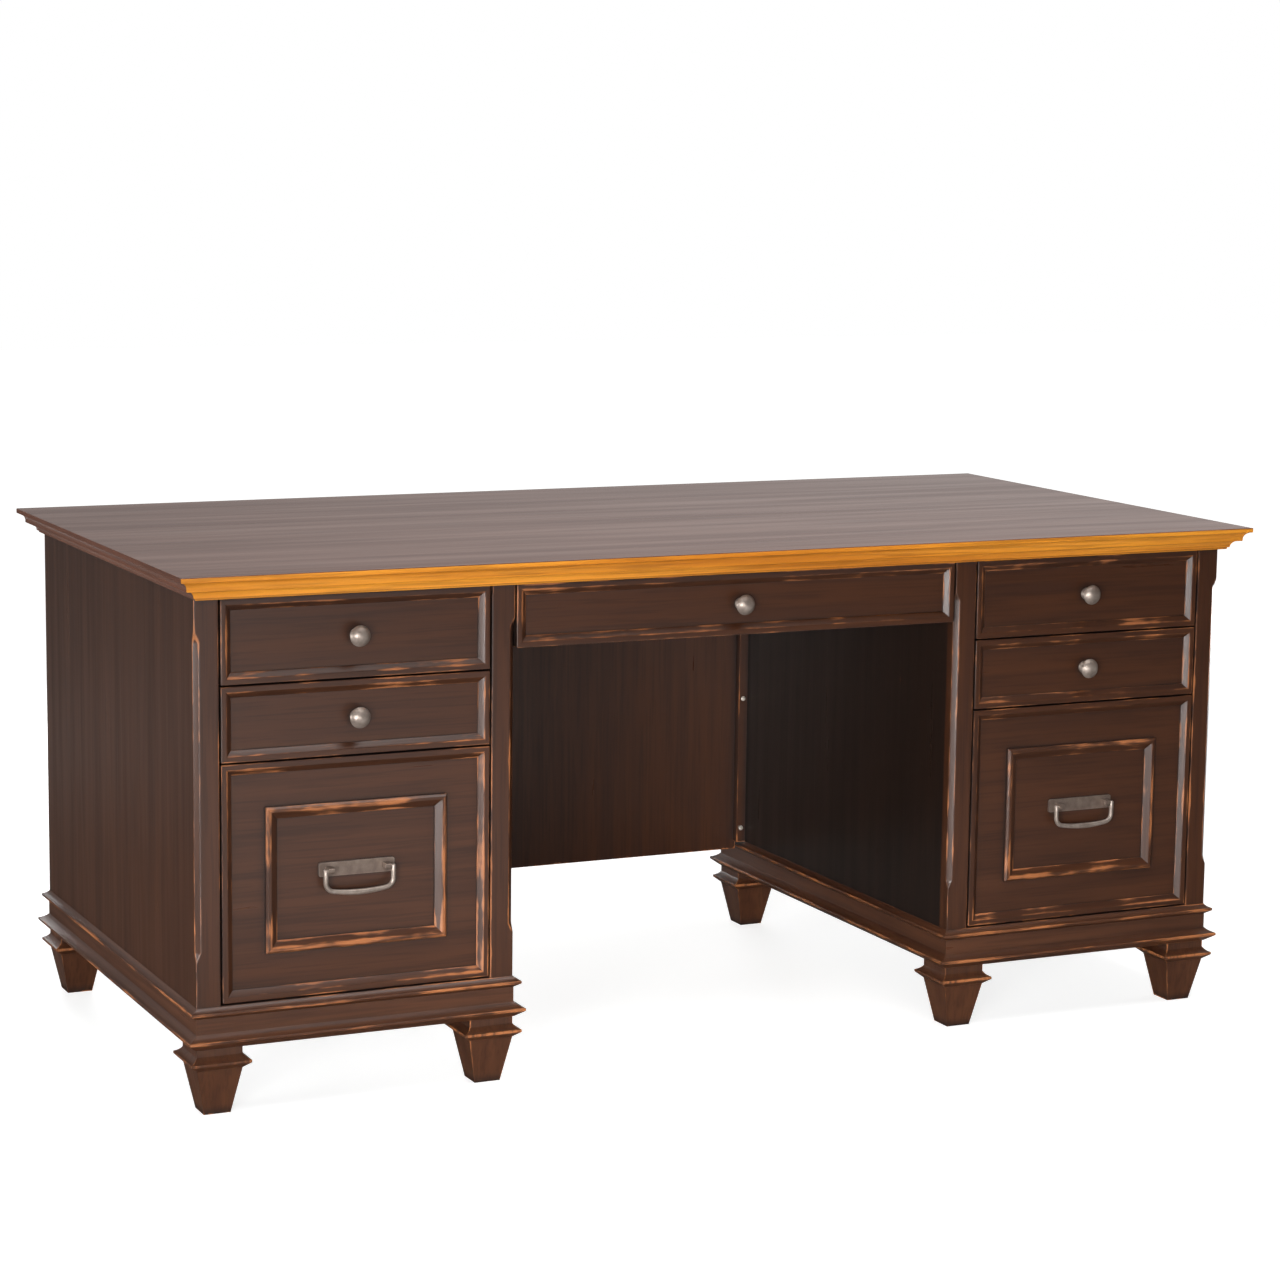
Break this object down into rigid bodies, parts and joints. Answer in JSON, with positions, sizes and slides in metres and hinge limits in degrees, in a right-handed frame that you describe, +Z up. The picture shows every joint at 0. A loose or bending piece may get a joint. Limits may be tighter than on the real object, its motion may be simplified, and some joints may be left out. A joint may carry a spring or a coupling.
{
  "type": "executive desk",
  "caption": "Double-pedestal executive desk in dark stained wood with a honey front edge, framed drawer fronts, metal knobs, bail pulls and square tapered feet.",
  "frame": {"origin": "on the floor, under the middle of the desktop's length and depth", "axes": "X along the desk to the sitter's right as seen from the drawer side, Y from the drawer fronts to the back, Z up"},
  "size_m": [1.727, 0.864, 0.762],
  "materials": {
    "espresso_wood": "dark espresso stain, satin, with rub-through along the edges",
    "desktop_wood": "brown stain under a glossy lacquer, grain along the desk",
    "honey_edge": "honey stain on the moulded edge, satin lacquer",
    "drawer_box_wood": "pale hardwood, clear lacquer",
    "slide_steel": "zinc plated steel",
    "antique_pewter": "antique pewter plating, rubbed bright on the high places"
  },
  "bodies": {
    "carcass": {"desktop_panel": "desktop_wood", "desktop_edge_front": "honey_edge", "desktop_edge_right": "desktop_wood", "desktop_edge_back": "desktop_wood", "desktop_edge_left": "desktop_wood", "left_outer_side": "espresso_wood", "left_inner_side": "espresso_wood", "left_back_panel": "espresso_wood", "left_bottom_panel": "espresso_wood", "left_front_stiles": "espresso_wood", "left_base_mouldings": "espresso_wood", "right_outer_side": "espresso_wood", "right_inner_side": "espresso_wood", "right_back_panel": "espresso_wood", "right_bottom_panel": "espresso_wood", "right_front_stiles": "espresso_wood", "right_base_mouldings": "espresso_wood", "pedestal_top_rails": "espresso_wood", "feet": "espresso_wood", "modesty_panel": "espresso_wood", "modesty_cleats": "espresso_wood", "assembly_screws": "slide_steel", "slide_spacers": "drawer_box_wood", "drawer_slide_rails": "slide_steel"},
    "left_top_drawer": {"left_top_drawer_front": "espresso_wood", "left_top_drawer_box": "drawer_box_wood", "left_top_drawer_runners": "slide_steel", "left_top_drawer_knob": "antique_pewter"},
    "left_middle_drawer": {"left_middle_drawer_front": "espresso_wood", "left_middle_drawer_box": "drawer_box_wood", "left_middle_drawer_runners": "slide_steel", "left_middle_drawer_knob": "antique_pewter"},
    "left_file_drawer": {"left_file_drawer_front": "espresso_wood", "left_file_drawer_panel_moulding": "espresso_wood", "left_file_drawer_box": "drawer_box_wood", "left_file_drawer_file_rails": "slide_steel", "left_file_drawer_runners": "slide_steel", "left_file_pull_plate": "antique_pewter"},
    "left_file_slide_middle": {"left_file_slide_middles": "slide_steel"},
    "left_file_pull": {"left_file_pull_bail": "antique_pewter"},
    "right_top_drawer": {"right_top_drawer_front": "espresso_wood", "right_top_drawer_box": "drawer_box_wood", "right_top_drawer_runners": "slide_steel", "right_top_drawer_knob": "antique_pewter"},
    "right_middle_drawer": {"right_middle_drawer_front": "espresso_wood", "right_middle_drawer_box": "drawer_box_wood", "right_middle_drawer_runners": "slide_steel", "right_middle_drawer_knob": "antique_pewter"},
    "right_file_drawer": {"right_file_drawer_front": "espresso_wood", "right_file_drawer_panel_moulding": "espresso_wood", "right_file_drawer_box": "drawer_box_wood", "right_file_drawer_file_rails": "slide_steel", "right_file_drawer_runners": "slide_steel", "right_file_pull_plate": "antique_pewter"},
    "right_file_slide_middle": {"right_file_slide_middles": "slide_steel"},
    "right_file_pull": {"right_file_pull_bail": "antique_pewter"},
    "centre_drawer": {"centre_drawer_front": "espresso_wood", "centre_drawer_box": "drawer_box_wood", "centre_drawer_runners": "slide_steel", "centre_drawer_knob": "antique_pewter"}
  },
  "joints": [
    {"name": "left_top_drawer_slide", "type": "slide", "parent": "carcass", "child": "left_top_drawer", "axis": [0, -1, 0], "range_m": [0, 0.38]},
    {"name": "left_middle_drawer_slide", "type": "slide", "parent": "carcass", "child": "left_middle_drawer", "axis": [0, -1, 0], "range_m": [0, 0.38]},
    {"name": "left_file_drawer_slide", "type": "slide", "parent": "carcass", "child": "left_file_drawer", "axis": [0, -1, 0], "range_m": [0, 0.5]},
    {"name": "left_file_slide_middle_slide", "type": "slide", "parent": "carcass", "child": "left_file_slide_middle", "axis": [0, -1, 0], "range_m": [0, 0.25]},
    {"name": "left_file_pull_hinge", "type": "hinge", "parent": "left_file_drawer", "child": "left_file_pull", "pos_m": [-0.596, -0.3925, 0.336], "axis": [-1, 0, 0], "range_deg": [0, 85]},
    {"name": "right_top_drawer_slide", "type": "slide", "parent": "carcass", "child": "right_top_drawer", "axis": [0, -1, 0], "range_m": [0, 0.38]},
    {"name": "right_middle_drawer_slide", "type": "slide", "parent": "carcass", "child": "right_middle_drawer", "axis": [0, -1, 0], "range_m": [0, 0.38]},
    {"name": "right_file_drawer_slide", "type": "slide", "parent": "carcass", "child": "right_file_drawer", "axis": [0, -1, 0], "range_m": [0, 0.5]},
    {"name": "right_file_slide_middle_slide", "type": "slide", "parent": "carcass", "child": "right_file_slide_middle", "axis": [0, -1, 0], "range_m": [0, 0.25]},
    {"name": "right_file_pull_hinge", "type": "hinge", "parent": "right_file_drawer", "child": "right_file_pull", "pos_m": [0.596, -0.3925, 0.336], "axis": [-1, 0, 0], "range_deg": [0, 85]},
    {"name": "centre_drawer_slide", "type": "slide", "parent": "carcass", "child": "centre_drawer", "axis": [0, -1, 0], "range_m": [0, 0.38]}
  ],
  "couplings": [
    {"joint": "left_file_slide_middle_slide", "follows": "left_file_drawer_slide", "ratio": 0.5},
    {"joint": "right_file_slide_middle_slide", "follows": "right_file_drawer_slide", "ratio": 0.5}
  ]
}
